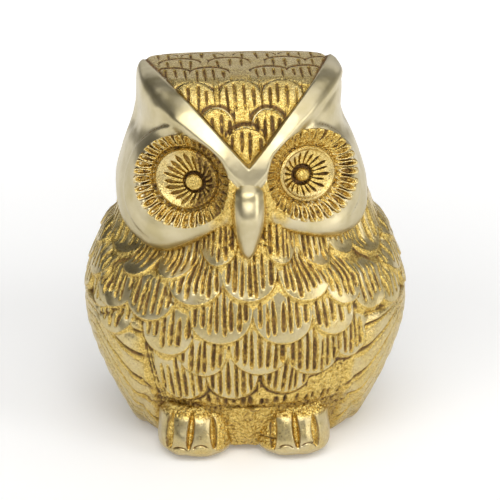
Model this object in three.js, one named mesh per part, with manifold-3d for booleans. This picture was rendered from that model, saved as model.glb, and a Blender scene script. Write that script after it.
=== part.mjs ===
// A hollow-cast brass owl figurine, 83 mm tall. It faces -Y and stands on z = 0, and its own left is +X.
// Lengths are millimetres. Depths called "front" run towards -Y, and depths called "back" towards +Y.
import * as THREE from "three";
import { mergeVertices } from "three/addons/utils/BufferGeometryUtils.js";
import Module from "manifold-3d";

const wasm = await Module();
wasm.setup();

// Driving dimensions
const HEIGHT = 83; // top of the flat crown
const NECK_Z = 48; // where the body casting meets the head casting
const WALL = 3.2; // casting wall
const GAP = 0.3; // brazed joint between neighbouring sub-parts
const WING_THICKNESS = 2;
const TAIL_THICKNESS = 2.4;
const PANEL_THICKNESS = 2.4; // feathered crown panel
const BROW_WIDTH = 5.5;
const BROW_RISE = 1.6; // how far the brow stands over the crown panel
const EYE_X = 14;
const EYE_Z = 62.8;
const EYE_FRONT = 21.8; // depth of the eye rim's centre
const EYE_UNEVEN = 0.5; // the left eye sits this much above the mean height, the right eye below
const EYE_TURN = 25; // degrees that each eye faces outwards
const EYE_LIFT = 8; // degrees that each eye faces upwards
const EYE_RADIUS = 10.6;
const IRIS_RADIUS = 7;
const PUPIL_RADIUS = 1.85;
const SOCKET_REACH = 8; // how far an eye's socket is cut clear in front of its rim
const BOSS_DEPTH = 10.5; // depth behind the rim to which the casting stays solid around an eye
const HEAD_CORE_RADIUS = 17; // opening of the head's hollow at the neck
const HEAD_WALL_EXTRA = 1; // how much thicker the head's sides are than the body's
const PANEL_ROOM = 6; // how far the crown panel's seat is cut clear above the crown
const FOOT_X = 10.6;
const TOE_SPACING = 4.9;
const FAR = 100; // longer than the figurine in every direction

// Depths behind the eye's rim, along its axis: the ring slopes in to the iris, and the iris to its middle
const RING_BACK = 2.6;
const RING_INNER_TOP = 1.8;
const RING_INNER_BACK = 4.4;
const IRIS_RIM_TOP = 2;
const IRIS_RIM_BACK = 4.6;
const IRIS_MIDDLE_TOP = 5.2;
const EYE_FLOOR = 7.4;
const PUPIL_SHOULDER = 4.3;
const PUPIL_SLOPE = 3.6;
const PUPIL_TOP = 3.3;
const PUPIL_FLAT = 0.75; // radius of the pupil's flat top, as a share of its own

// Outlines of the wing seen from the side (backwards, up) and of the tail seen from behind (across, up)
const WING_OUTLINE = [
  [-9, 47], [-17, 39], [-22, 28], [-21, 18], [-15, 8], [-8, -1],
  [16, -1], [22, 6], [25.5, 18], [24, 30], [17, 40], [8, 47],
];
const WING_INNER_X = 9;
const TAIL_OUTLINE = [[-11, -1], [-10, 10], [-6, 21], [0, 25], [6, 21], [10, 10], [11, -1]];

// Sections of each lofted form: height, half width, front depth, back depth
const BODY_SECTIONS = [
  [0, 22, 18, 24],
  [3, 24.5, 21.5, 25.5],
  [8, 27.2, 25.5, 27],
  [14, 30.2, 28.3, 28.3],
  [20, 32.6, 30, 29],
  [27, 34.2, 31, 29],
  [34, 33.8, 30.3, 27.8],
  [41, 31.6, 28, 25.6],
  [NECK_Z, 28.2, 25.2, 22.2],
];
const HEAD_SECTIONS = [
  [NECK_Z, 27.3, 24.6, 21.6],
  [53, 27.7, 25.9, 21.8],
  [58, 27.2, 25.9, 21.2],
  [64, 25.9, 25.1, 19.6],
  [70, 23.8, 22.9, 16.8],
  [76, 22, 19.8, 13.6],
  [HEIGHT, 20.8, 16, 11],
];
const BEAK_SECTIONS = [
  [48.8, 0.6, 5.4, 1.5],
  [51, 1.9, 6.4, 3],
  [55, 2.9, 7, 4],
  [59, 3.2, 7, 4],
  [62, 3, 5.2, 4],
  [64, 2.4, 2.4, 4],
];
const BEAK_FRONT = 24; // depth of the line that the beak's sections are measured from
const TOE_SECTIONS = [
  [0, 2.5, 10, 3],
  [3, 2.75, 12, 3],
  [7, 2.6, 11, 3],
  [10.5, 2, 8.3, 3],
];
const WEB_SECTIONS = [
  [0, 2.6, 4, 4],
  [4, 2.6, 6, 4],
  [9, 2.6, 9.5, 4],
];
const FOOT_FRONT = 18; // depth of the line that the toes' sections are measured from
const WEB_FRONT = 17.6;
const BODY_SQUARENESS = 2.2; // superellipse exponent of a section, 2 being a true ellipse
const HEAD_SQUARENESS = 2.8;
const BEAK_SQUARENESS = 2.3;
const TOE_SQUARENESS = 2.4;
const WEB_SQUARENESS = 4;

// The crown panel lies between two planes that meet at the beak's root, on a line that falls towards the back
const CROWN_APEX = new THREE.Vector3(0, -25.6, 67);
const CROWN_FALL = 15.8; // degrees below level
const CROWN_SLOPE = 48.2; // degrees of each plane's edge above level, seen along that line
const CROWN_REAR_RISE = 17; // degrees above level of the panel's lower edge behind, seen from the side

const brass = new THREE.MeshStandardMaterial({ color: 0xc9a45a, roughness: 0.32, metalness: 1 });
const paleBrass = new THREE.MeshStandardMaterial({ color: 0xd8cba6, roughness: 0.22, metalness: 1 });
const darkBrass = new THREE.MeshStandardMaterial({ color: 0xa9803a, roughness: 0.45, metalness: 1 });

function solid(geometry) {
  const bare = geometry.clone();
  bare.deleteAttribute("normal");
  bare.deleteAttribute("uv");
  const merged = mergeVertices(bare, 1e-4);
  return new wasm.Manifold(
    new wasm.Mesh({
      numProp: 3,
      vertProperties: merged.attributes.position.array,
      triVerts: new Uint32Array(merged.index.array),
    }),
  );
}

function node(name, shape, material) {
  const { numProp, vertProperties, triVerts } = shape.getMesh();
  const geometry = new THREE.BufferGeometry();
  geometry.setAttribute("position", new THREE.BufferAttribute(vertProperties, numProp));
  geometry.setIndex(new THREE.BufferAttribute(triVerts, 1));
  geometry.computeVertexNormals();
  const mesh = new THREE.Mesh(geometry, material);
  mesh.name = name;
  return mesh;
}

// Smooth curves through the sections, so that any share of the height from 0 to 1 has its own section
function sectionCurve(sections) {
  const widths = new THREE.CatmullRomCurve3(
    sections.map(([z, half, front]) => new THREE.Vector3(half, front, z)),
  );
  const backs = new THREE.CatmullRomCurve3(sections.map(([z, , , back]) => new THREE.Vector3(back, 0, z)));
  widths.curveType = "catmullrom";
  backs.curveType = "catmullrom";
  return (share) => {
    const w = widths.getPoint(share);
    return { z: w.z, half: w.x, front: w.y, back: backs.getPoint(share).x };
  };
}

// A closed upright form through the sections. grow moves its sides out, and stretch moves its two ends apart.
function loft(sections, { around = 36, rows = 12, grow = 0, stretch = 0, squareness = 2 } = {}) {
  const geometry = new THREE.CylinderGeometry(1, 1, 1, around, rows).rotateX(Math.PI / 2);
  const section = sectionCurve(sections);
  const place = geometry.attributes.position;
  for (let i = 0; i < place.count; i++) {
    const share = place.getZ(i) + 0.5;
    const angle = Math.atan2(place.getY(i), place.getX(i));
    const radius = Math.hypot(place.getX(i), place.getY(i));
    const { z, half, front, back } = section(share);
    const round = (value) => Math.sign(value) * Math.abs(value) ** (2 / squareness);
    const depth = Math.sin(angle) < 0 ? front : back;
    const end = share < 1e-6 ? -stretch : share > 1 - 1e-6 ? stretch : 0;
    place.setXYZ(
      i,
      radius * (half + grow) * round(Math.cos(angle)),
      radius * (depth + grow) * round(Math.sin(angle)),
      z + end,
    );
  }
  return solid(geometry);
}

const bodyForm = (options) =>
  loft(BODY_SECTIONS, { around: 36, rows: 10, squareness: BODY_SQUARENESS, ...options });
const headForm = (options) =>
  loft(HEAD_SECTIONS, { around: 32, rows: 9, squareness: HEAD_SQUARENESS, ...options });

// A prism whose outline lies in the plane seen from the side (y, z), cut from x = from outwards on +X
function sidePrism(points, from) {
  const shape = new THREE.Shape(points.map(([y, z]) => new THREE.Vector2(y, z)));
  const geometry = new THREE.ExtrudeGeometry(shape, { depth: FAR, bevelEnabled: false, curveSegments: 6 });
  geometry.rotateX(Math.PI / 2).rotateZ(Math.PI / 2).translate(from, 0, 0);
  return solid(geometry);
}

function mirrored(shape) {
  return shape.mirror([1, 0, 0]);
}

// All the space above a height, and all the space in front of the middle
function above(z) {
  return solid(new THREE.BoxGeometry(2 * FAR, 2 * FAR, FAR).translate(0, 0, z + FAR / 2));
}

function inFront() {
  return solid(new THREE.BoxGeometry(2 * FAR, FAR, 2 * FAR).translate(0, -FAR / 2, 0));
}

// Everything between the crown's two planes and above its rear edge, moved outwards by grow
function crownWedge(grow = 0) {
  const rise = FAR * Math.tan(THREE.MathUtils.degToRad(CROWN_SLOPE));
  const drop = grow / Math.cos(THREE.MathUtils.degToRad(CROWN_SLOPE));
  const shape = new THREE.Shape([
    new THREE.Vector2(0, -drop),
    new THREE.Vector2(FAR, rise - drop),
    new THREE.Vector2(-FAR, rise - drop),
  ]);
  const geometry = new THREE.ExtrudeGeometry(shape, { depth: 2 * FAR, bevelEnabled: false });
  geometry.translate(0, 0, -FAR).rotateX(Math.PI / 2 - THREE.MathUtils.degToRad(CROWN_FALL));
  geometry.translate(...CROWN_APEX.toArray());
  const rear = above(-grow).rotate([CROWN_REAR_RISE, 0, 0]).translate(CROWN_APEX.toArray());
  return solid(geometry).intersect(rear);
}

// Turned forms in the eye's own frame, whose +Z leaves the face along the eye's axis
function turned(points, around = 32) {
  const profile = points.map(([radius, height]) => new THREE.Vector2(radius, height));
  return new THREE.LatheGeometry(profile, around).rotateX(Math.PI / 2);
}

function inEyeFrame(geometry) {
  geometry.rotateX(Math.PI / 2 - THREE.MathUtils.degToRad(EYE_LIFT));
  geometry.rotateZ(THREE.MathUtils.degToRad(EYE_TURN));
  return geometry.translate(EYE_X, -EYE_FRONT, EYE_Z);
}

const eyeRing = () =>
  turned([
    [EYE_RADIUS, -RING_BACK],
    [EYE_RADIUS, 0],
    [IRIS_RADIUS + GAP, -RING_INNER_TOP],
    [IRIS_RADIUS + GAP, -RING_INNER_BACK],
    [EYE_RADIUS, -RING_BACK],
  ]);
const eyeIris = () =>
  turned([
    [PUPIL_RADIUS + GAP, -EYE_FLOOR],
    [IRIS_RADIUS, -IRIS_RIM_BACK],
    [IRIS_RADIUS, -IRIS_RIM_TOP],
    [PUPIL_RADIUS + GAP, -IRIS_MIDDLE_TOP],
    [PUPIL_RADIUS + GAP, -EYE_FLOOR],
  ]);
const eyePupil = () =>
  turned([
    [0, -EYE_FLOOR],
    [PUPIL_RADIUS, -EYE_FLOOR],
    [PUPIL_RADIUS, -PUPIL_SHOULDER],
    [PUPIL_RADIUS * PUPIL_FLAT, -PUPIL_SLOPE],
    [0, -PUPIL_TOP],
  ], 20);
const eyeSocket = () =>
  turned([
    [0, -EYE_FLOOR - GAP],
    [PUPIL_RADIUS + GAP, -EYE_FLOOR - GAP],
    [IRIS_RADIUS + GAP, -IRIS_RIM_BACK - GAP],
    [EYE_RADIUS + GAP, -RING_BACK - GAP],
    [EYE_RADIUS + GAP, SOCKET_REACH],
    [0, SOCKET_REACH],
  ]);
const eyeBoss = () =>
  turned([
    [0, -BOSS_DEPTH],
    [EYE_RADIUS, -BOSS_DEPTH],
    [EYE_RADIUS, SOCKET_REACH],
    [0, SOCKET_REACH],
  ], 16);

// One eye form on both sides, each at its own height
function onBothEyes(make) {
  const left = solid(inEyeFrame(make()).translate(0, 0, EYE_UNEVEN));
  const right = mirrored(solid(inEyeFrame(make()).translate(0, 0, -EYE_UNEVEN)));
  return { left, right };
}

function beak(grow = 0) {
  const form = loft(BEAK_SECTIONS, { around: 20, rows: 8, grow, stretch: grow, squareness: BEAK_SQUARENESS });
  return form.translate([0, -BEAK_FRONT, 0]);
}

function bodyShell() {
  return bodyForm().subtract(bodyForm({ around: 24, rows: 6, grow: -WALL, stretch: 5 }));
}

function headShell(eyes) {
  const lower = headForm();
  const brows = headForm({ grow: BROW_RISE })
    .intersect(crownWedge(BROW_WIDTH))
    .intersect(inFront());
  const panelRoom = crownWedge(GAP)
    .intersect(headForm({ grow: PANEL_ROOM, stretch: PANEL_ROOM }))
    .subtract(headForm({ grow: -PANEL_THICKNESS - GAP, stretch: -PANEL_THICKNESS - GAP }));
  const bosses = onBothEyes(eyeBoss);
  const neck = new THREE.CylinderGeometry(HEAD_CORE_RADIUS, HEAD_CORE_RADIUS, 4 * WALL, 24);
  neck.rotateX(Math.PI / 2).translate(0, 0, NECK_Z);
  const core = { grow: -WALL - HEAD_WALL_EXTRA, stretch: -PANEL_THICKNESS - WALL };
  const hollow = headForm({ around: 24, rows: 5, ...core })
    .add(solid(neck))
    .subtract(bosses.left)
    .subtract(bosses.right);
  return lower
    .add(brows)
    .subtract(panelRoom)
    .subtract(hollow)
    .subtract(eyes.left)
    .subtract(eyes.right)
    .subtract(beak(GAP))
    .intersect(above(NECK_Z + GAP));
}

function crownPanel() {
  return headForm()
    .subtract(headForm({ grow: -PANEL_THICKNESS, stretch: -PANEL_THICKNESS }))
    .intersect(crownWedge());
}

// The folded wing is a shell over the side of the body, from the shoulder to the ground
function wing() {
  const shell = bodyForm({ grow: WING_THICKNESS }).subtract(bodyForm({ grow: GAP, stretch: 1 }));
  return shell.intersect(sidePrism(WING_OUTLINE, WING_INNER_X));
}

// The tail's fan lies on the lower back
function tail() {
  const outline = new THREE.Shape(TAIL_OUTLINE.map(([x, z]) => new THREE.Vector2(x, z)));
  const prism = new THREE.ExtrudeGeometry(outline, { depth: FAR, bevelEnabled: false });
  prism.rotateX(Math.PI / 2).translate(0, FAR, 0);
  const shell = bodyForm({ grow: TAIL_THICKNESS }).subtract(bodyForm({ grow: GAP, stretch: 1 }));
  return shell.intersect(solid(prism));
}

function foot(x) {
  const toe = loft(TOE_SECTIONS, { around: 16, rows: 6, squareness: TOE_SQUARENESS });
  const toes = [-1, 0, 1].map((step) => toe.translate([x + step * TOE_SPACING, -FOOT_FRONT, 0]));
  const joined = toes.reduce((foot, toe) => foot.add(toe));
  return joined.intersect(above(0)).subtract(bodyForm({ grow: GAP, stretch: 1 }));
}

function footWeb() {
  const web = loft(WEB_SECTIONS, { around: 16, rows: 4, squareness: WEB_SQUARENESS });
  return web.translate([0, -WEB_FRONT, 0]).intersect(above(0)).subtract(bodyForm({ grow: GAP, stretch: 1 }));
}

function figurine() {
  const group = new THREE.Group();
  const sockets = onBothEyes(eyeSocket);
  const rings = onBothEyes(eyeRing);
  const irises = onBothEyes(eyeIris);
  const pupils = onBothEyes(eyePupil);
  const wingShape = wing();
  group.add(
    node("body_shell", bodyShell(), brass),
    node("head_shell", headShell(sockets), paleBrass),
    node("crown_panel", crownPanel(), brass),
    node("beak", beak(), paleBrass),
    node("left_wing", wingShape, brass),
    node("right_wing", mirrored(wingShape), brass),
    node("tail", tail(), brass),
    node("left_foot", foot(FOOT_X), brass),
    node("right_foot", foot(-FOOT_X), brass),
    node("foot_web", footWeb(), darkBrass),
  );
  for (const side of ["left", "right"]) {
    group.add(
      node(`${side}_eye_ring`, rings[side], brass),
      node(`${side}_iris`, irises[side], brass),
      node(`${side}_pupil`, pupils[side], paleBrass),
    );
  }
  return group;
}

// The origin is on the ground, under the middle of the whole figurine
const owl = figurine();
owl.position.y = -new THREE.Box3().setFromObject(owl).getCenter(new THREE.Vector3()).y;

export default owl;
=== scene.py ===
"""The looks of the hollow-cast brass owl: one finely chased piece for each named node of the frame.

Lengths in this script are millimetres, in the frame's own axes: +Z up, and the owl faces -Y.
Azimuths are degrees around the Z axis, 0 at the front (-Y) and positive towards +X, the owl's own left.
"""
import functools
import itertools
import math

import bpy
import numpy as np
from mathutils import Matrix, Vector

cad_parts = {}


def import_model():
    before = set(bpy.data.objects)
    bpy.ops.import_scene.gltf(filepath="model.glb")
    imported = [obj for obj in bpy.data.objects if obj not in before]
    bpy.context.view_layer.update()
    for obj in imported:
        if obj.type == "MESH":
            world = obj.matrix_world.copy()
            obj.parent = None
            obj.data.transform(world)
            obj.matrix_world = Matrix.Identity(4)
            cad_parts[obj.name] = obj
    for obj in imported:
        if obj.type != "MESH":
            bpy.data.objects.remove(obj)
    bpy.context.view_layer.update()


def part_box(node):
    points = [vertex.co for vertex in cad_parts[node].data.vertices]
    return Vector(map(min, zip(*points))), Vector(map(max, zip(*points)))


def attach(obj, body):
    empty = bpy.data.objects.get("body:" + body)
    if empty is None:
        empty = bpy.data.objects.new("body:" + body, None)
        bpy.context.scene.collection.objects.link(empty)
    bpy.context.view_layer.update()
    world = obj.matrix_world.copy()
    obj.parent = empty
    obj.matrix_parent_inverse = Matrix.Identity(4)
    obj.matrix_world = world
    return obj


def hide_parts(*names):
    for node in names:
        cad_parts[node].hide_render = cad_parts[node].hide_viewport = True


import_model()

MM = 0.001
SEED = 11
BISECTIONS = 26  # steps of a search along a ray

LEVEL = np.array((1.0, 1.0, 0.0))  # keeps what is level in a point or direction

# Camera, at the photograph's viewing angle
VIEW_AZIMUTH = -2.0
VIEW_ELEVATION = 20.0
VIEW_DISTANCE = 480.0
VIEW_LENS = 154.0
VIEW_TARGET = (1.1, 0.0, 38.8)
# Finish: each metal's colour runs between two, and the three sizes of mottling are counted in a metre
GOLD = (0.52, 0.34, 0.075, 1), (0.80, 0.61, 0.20, 1)
PALE = (0.50, 0.425, 0.235, 1), (0.59, 0.515, 0.33, 1)
# BROWN is patina in the hollows, and also painted shade in hollows, creases and under the cheeks
BROWN = (0.035, 0.015, 0.004, 1), (0.26, 0.13, 0.025, 1)
PATCHES_PER_METRE, SPECKS_PER_METRE, PORES_PER_METRE = 170.0, 1900.0, 3800.0
GRAIN_HEIGHT = 0.22 * MM
# Lights: azimuth, elevation and distance from the target, width and height, watts
LIGHTS = (
    ("key", -18, 46, 650, 560, 400, 2.0),
    ("front", 14, 46, 650, 200, 200, 0.5),
    ("fill", 52, 24, 650, 220, 480, 1.0),
    ("top", 20, 80, 800, 700, 700, 1.9),
    ("back", 180, 27, 800, 1000, 340, 0.65),
)
LIGHT_TARGET = (0, 0, 40)

# Torso and head forms: height, half width, front depth and back depth, as shares of the CAD node's own box
TORSO_PROFILE = (
    (0.00, 0.64, 0.58, 0.83),
    (0.06, 0.72, 0.70, 0.88),
    (0.17, 0.80, 0.83, 0.93),
    (0.29, 0.88, 0.92, 0.97),
    (0.42, 0.95, 0.97, 1.00),
    (0.56, 1.00, 1.00, 1.00),
    (0.71, 0.99, 0.98, 0.96),
    (0.85, 0.93, 0.92, 0.89),
    (1.00, 0.84, 0.86, 0.78),
    (1.13, 0.78, 0.82, 0.72),
)
HEAD_PROFILE = (
    (-0.12, 0.90, 0.84, 0.93),
    (0.00, 0.96, 0.90, 0.98),
    (0.14, 0.99, 0.96, 1.00),
    (0.28, 0.985, 0.965, 0.97),
    (0.45, 0.925, 0.945, 0.90),
    (0.60, 0.86, 0.90, 0.80),
    (0.76, 0.815, 0.83, 0.70),
    (0.90, 0.80, 0.76, 0.62),
    (1.05, 0.79, 0.70, 0.56),
)
TORSO_SQUARENESS = 2.2
FACE_SQUARENESS = 3.0
NAPE_SQUARENESS = 2.5
# Height that the top of the head falls below the crown, against the distance in front of the middle
CROWN_FALL_FRONT = (-14.0, -9.0, -4.0, 4.0, 10.0, 14.0, 17.0, 20.0, 23.0, 26.0)
CROWN_FALL_DROP = (1.9, 0.6, 0.1, 0.35, 1.1, 2.4, 4.2, 7.3, 11.6, 17.5)
HEAD_SHIFT = 1.0  # how far the whole head sits towards -X
HEAD_LEAN = 0.018  # further shift for each millimetre of height
HEAD_LEAN_FROM = 53.0  # height where the lean starts
HEAD_TURN = math.radians(2.5)  # towards the owl's own left
HEAD_MIDDLE = np.array((0.0, 0.0, 60.0))  # where the head's rays start
NAPE_RADIUS = 24.0  # radius that widths around the nape are measured at
WALL = 3.2  # thickness of the hollow castings
SLAB = 1.6  # how deep the wings and the crown panel reach into the casting behind them

# Lower edge of the face and nape: azimuth and height
FACE_EDGE = (
    (-180, 50), (-125, 50), (-92, 51), (-75, 48.6), (-60, 46.3), (-46, 44.6), (-38, 45.1), (-29, 47.2),
    (-17, 50.4), (-9, 52.4), (0, 53), (9, 52.6), (14, 51.2), (27, 49), (40, 47.4), (54, 47.2),
    (78, 50.4), (92, 51.5), (125, 50), (180, 50),
)

# The V of the forehead: two planes through the apex, and the brow bands outside them
APEX = np.array((0.0, -25.4, 66.6))
V_FALL = math.radians(15.8)
V_SLOPE = math.radians(49.4)
BROW_WIDTH = {"left": 4.7, "right": 6.4}
BROW_END = {"left": (26.0, 8.0), "right": (16.0, 8.0)}  # where each band starts to fade, and over what length
BROW_HEIGHT = 1.7
BRIDGE = 4.6  # how far the polished bridge between the brows reaches below the V

# Eyes, by the owl's own side
EYE_RADIUS = {"left": 10.5, "right": 10.05}
IRIS_RADIUS = {"left": 6.65, "right": 7.1}
IRIS_OFFSET = {"left": (-0.1, 0.25), "right": (0.3, 0.55)}  # across and up, from the middle of the ring
PUPIL_OFFSET = {"left": (-1.0, -0.3), "right": (1.65, -0.85)}  # from the middle of the iris
EYE_SQUASH = {"left": 0.87, "right": 0.90}  # height of each eye as a share of its width
EYE_SHIFT = {"left": (-0.5, 0.0, 0.0), "right": (0.45, 0.0, 0.3)}  # from the middle of the CAD iris
EYE_FLATNESS = 0.38  # how much the ring's edge follows the bent face behind it
EYE_PETALS = 32
PETAL_RANGES = ((-0.14, 0.14), (1.2, 1.6), (0.7, 1.15), (0.8, 1.1))  # shift, half length, depth and girth
IRIS_RAYS = 20
EYE_TURN = math.radians(25)
EYE_LIFT = math.radians(8)
EYE_DEPTH_RADIUS = (0.0, 1.6, 3.0, 5.5, 6.6, 7.0, 7.4, 8.2, 9.6, 10.9)
EYE_DEPTH = (2.6, 2.5, 2.2, 1.6, 1.35, 1.55, 1.9, 1.4, 0.7, 0.0)
PETAL_LOSS = {"left": 0.55, "right": 0.25}  # how worn the petals are at the ring's top
RAY_WIDTH = {"left": (0.36, 0.26), "right": (0.50, 0.30)}  # share of the pitch near the middle, and its gain
RAY_BLACK = {"left": (0.45, 0.2, 5.9), "right": (0.6, -0.2, 4.4)}  # black rays: turn, spread and reach
# Outline of the pupil's stud: radius and height over the dish
PUPIL_PROFILE = {
    "right": ((1.9, -2.0), (1.9, 0.2), (1.86, 0.75), (1.68, 1.0), (1.4, 1.08), (0.9, 1.1), (0.35, 1.1)),
    "left": ((1.66, -2.0), (1.66, 0.1), (1.6, 0.6), (1.4, 1.05), (1.1, 1.35), (0.7, 1.55), (0.25, 1.62)),
}
CHEEK_LINE = {"left": (12.5, 1.9), "right": (13.4, 3.2)}  # its radius above the eye, and how much wider below

# Scales of the breast: azimuth of the middle, height of the tip, width
BREAST_SCALES = (
    ((-51, 39.6, 8.5), (-34, 40.4, 10), (-15, 44, 10.5), (15, 44.2, 8.5), (34, 42.2, 8.5), (50, 43, 9)),
    ((-57, 32, 10), (-41, 31.5, 11), (-22, 35.8, 12.3), (0, 36.9, 12), (24, 36.4, 11.2), (40, 34.5, 8),
     (51, 32, 8.5)),
    ((-56, 26.8, 9), (-32, 24.8, 10.5), (-11, 28.2, 12.8), (12.5, 28, 12), (33, 28.8, 9)),
    ((-19, 20.6, 9.5), (3.5, 21.2, 11.8), (25, 20.4, 11.2), (40, 23, 7)),
    ((-27, 14.2, 10.5), (-7, 15.2, 10.5), (14, 16.4, 9.8)),
)
BREAST_BARE = (2.1, 2.2, 2.6, 1.3, 0.9)  # smooth tip of the scales in each row, below their grooves
# Rows of scales on each shoulder and on the back: height of the tips, azimuths on each side, width, lift
COVERTS = (
    (41.5, (64, 82, 100, 118, 138, 158, 178), 10.5, 1.3),
    (36.0, (73, 91, 109, 128, 148, 168), 10.5, 1.25),
    (31.2, (62, 82, 100, 118, 138, 158, 178), 10.0, 1.2),
    (26.0, (148, 168), 10.5, 1.1),
    (20.5, (140, 158, 178), 10.5, 1.05),
    (15.0, (148, 168), 10.5, 1.0),
    (9.5, (138, 158, 178), 10.5, 0.9),
)
BODY_RADIUS = 31.8  # radius that widths around the body are measured at
BODY_CELL = 0.3  # spacing of the points of the body and the wings
NECK_OVERLAP = 6.0  # how far the torso reaches up inside the head
FRINGE_Z = 14.2  # height of the notched edge of the belly
# The long wing feathers' edges fan out forwards from the shoulder: where from, and how steeply each falls
FAN_AZIMUTH, FAN_Z = 68.0, 32.5
FAN_SLOPES = (0.0, 0.2, 0.55, 1.05, 1.6, 2.3, 3.2, 4.3, 5.6, 7.2, 9.2, 12.0)
# Front and rear edges of the wings: azimuths in degrees, at each height
WING_HEIGHT = (-0.5, 4, 8, 14, 18, 28, 34, 39, 47, 51)
WING_FRONT = (72, 60, 52, 44, 42, 42, 50, 60, 76, 84)
WING_BACK = (120, 138, 144, 147, 147, 140, 133, 125, 108, 96)

# Beak, from its tip to its top: share of the height, half width and reach, as shares of the greatest
BEAK_HEIGHT = (0.0, 0.06, 0.2, 0.4, 0.6, 0.78, 0.92, 1.0)
BEAK_HALF = (0.20, 0.42, 0.68, 0.90, 1.0, 1.0, 0.86, 0.5)
BEAK_FRONT = (0.70, 0.79, 0.88, 0.96, 1.0, 0.86, 0.70, 0.46)
BEAK_STRETCH = 1.16  # width, as a share of the CAD beak's
BEAK_REACH = 8.6
BEAK_SHIFT = 0.5  # how far the beak's tip hangs towards -X

# Crown panel: how far up from the apex it reaches, and the distance in front of the middle along that way
CROWN_LENGTH = 47.0
CROWN_PATH_LENGTH = (0, 8, 16, CROWN_LENGTH)
CROWN_PATH_FRONT = (25.2, 21.6, 15.0, -12.0)
# Its scales: distance of the tips from the apex, places across, width, length, lift
CROWN_SCALES = (
    (8.4, (-0.2,), 8.8, 9.0, 1.35),
    (11.8, (-6.1, 4.7), 7.8, 8.0, 1.25),
    (18.8, (-10.6, -0.8, 8.3), 8.8, 9.0, 1.2),
    (28.2, (-14.9, -6.7, 6.2, 14.1), 8.6, 9.5, 0.6),
    (35.4, (-12.7, -2.1, 10.2, 19.0), 9.2, 9.0, 0.5),
    (42.0, (-17.5, -7.5, 3.8, 13.8), 9.4, 9.0, 0.45),
)

# Tail: half its width at each height, and the width of a feather
TAIL_HEIGHT = (0, 10, 18, 23, 25)
TAIL_HALF = (11.0, 10.2, 7.8, 4.6, 1.5)
TAIL_FEATHER = 3.1

# Feet, from the floor up: share of the height, half width and reach, as shares of the greatest
FOOT_HEIGHT = (0.0, 0.05, 0.16, 0.36, 0.60, 0.82, 1.0)
FOOT_HALF = (0.78, 0.90, 1.01, 1.04, 1.01, 0.97, 0.93)
FOOT_FRONT = (0.62, 0.80, 0.97, 1.0, 0.93, 0.82, 0.68)
FOOT_REACH = 10.8
FOOT_SHIFT = 0.9  # how far both feet sit towards -X from the CAD feet
FOOT_STRETCH = 1.06  # width, as a share of the CAD feet's
# Slits between the toes: place across and lean. Nails: place across and height of the top
TOE_SLITS = {
    "right": ((-5.9, 0.10), (-1.4, 0.12), (3.9, -0.05)),
    "left": ((-4.7, 0.0), (0.5, -0.12), (4.8, -0.10)),
}
NAILS = {
    "right": ((0.9, 4.2), (-3.6, 3.6)),
    "left": ((-1.8, 4.0), (3.2, 4.4), (-6.2, 5.0)),
}
WEB_HALF = 9.0  # half width of the casting between the feet
WEB_ROOT = 15.0  # distance of its root in front of the middle


# ---------------------------------------------------------------- shapes and relief in plain numbers

def smooth(x):
    """0 below 0, 1 above 1, and a smooth rise between."""
    x = np.clip(x, 0.0, 1.0)
    return x * x * (3.0 - 2.0 * x)


def after(x, start, length):
    """0 up to start, then a smooth rise to 1 over the length."""
    return smooth((x - start) / length)


def before(x, end, length):
    """1 well before the end, then a smooth fall to 0 there, over the length."""
    return smooth((end - x) / length)


def bell(x, width, power=2):
    """1 at 0, and a fall to about a third at the width on each side."""
    return np.exp(-(x / width) ** power)


def most(*fields):
    """The highest of the fields at each place."""
    return functools.reduce(np.maximum, fields)


def curve(x, xs, ys):
    """The smooth curve through the points (xs, ys), at x."""
    xs, ys = np.asarray(xs, float), np.asarray(ys, float)
    slopes = np.gradient(ys, xs)
    i = np.clip(np.searchsorted(xs, x) - 1, 0, len(xs) - 2)
    width = xs[i + 1] - xs[i]
    t = np.clip((x - xs[i]) / width, 0.0, 1.0)
    start = (1 + 2 * t) * (1 - t) ** 2 * ys[i] + t * (1 - t) ** 2 * width * slopes[i]
    end = t * t * (3 - 2 * t) * ys[i + 1] + t * t * (t - 1) * width * slopes[i + 1]
    return start + end


def noise(points, size, seed=0):
    """Smooth random values, mostly from -1 to 1, that change over about size millimetres."""
    rng = np.random.default_rng((SEED, 100, seed))
    slopes = rng.normal(size=(32, 32, 32, 3))
    slopes /= np.linalg.norm(slopes, axis=-1, keepdims=True)
    turn = np.linalg.qr(rng.normal(size=(3, 3)))[0]
    q = np.asarray(points) @ turn / size + 100.0
    cell = np.floor(q).astype(int)
    part = q - cell
    fade = smooth(part)
    total = np.zeros(q.shape[:-1])
    for corner in np.ndindex(2, 2, 2):
        weight = np.prod(np.where(corner, fade, 1 - fade), axis=-1)
        index = (cell + corner) % 32
        slope = slopes[index[..., 0], index[..., 1], index[..., 2]]
        total = total + weight * np.sum(slope * (part - corner), axis=-1)
    return 1.6 * total


def blur(values, cells, wrap):
    """A box average over a square of cells, on a grid whose columns may join up."""
    out = values
    for axis in (0, 1):
        mode = "wrap" if (wrap and axis == 1) else "edge"
        pad = [(0, 0), (0, 0)]
        pad[axis] = (cells + 1, cells)
        total = np.cumsum(np.pad(out, pad, mode=mode), axis=axis)
        length = 2 * cells + 1
        out = (np.take(total, range(length, total.shape[axis]), axis)
               - np.take(total, range(0, total.shape[axis] - length), axis)) / length
    return out


def grid_normals(points, wrap):
    """Unit normals of a grid of points, outwards where rows go up and columns anticlockwise from above."""
    if wrap:
        along = np.roll(points, -1, 1) - np.roll(points, 1, 1)
    else:
        along = np.gradient(points, axis=1)
    up = np.gradient(points, axis=0)
    normal = np.cross(along, up)
    return normal / np.maximum(np.linalg.norm(normal, axis=-1, keepdims=True), 1e-9)


def span(node):
    """Lowest and highest corner of a CAD node's box."""
    low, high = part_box(node)
    return np.array(low) / MM, np.array(high) / MM


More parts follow.
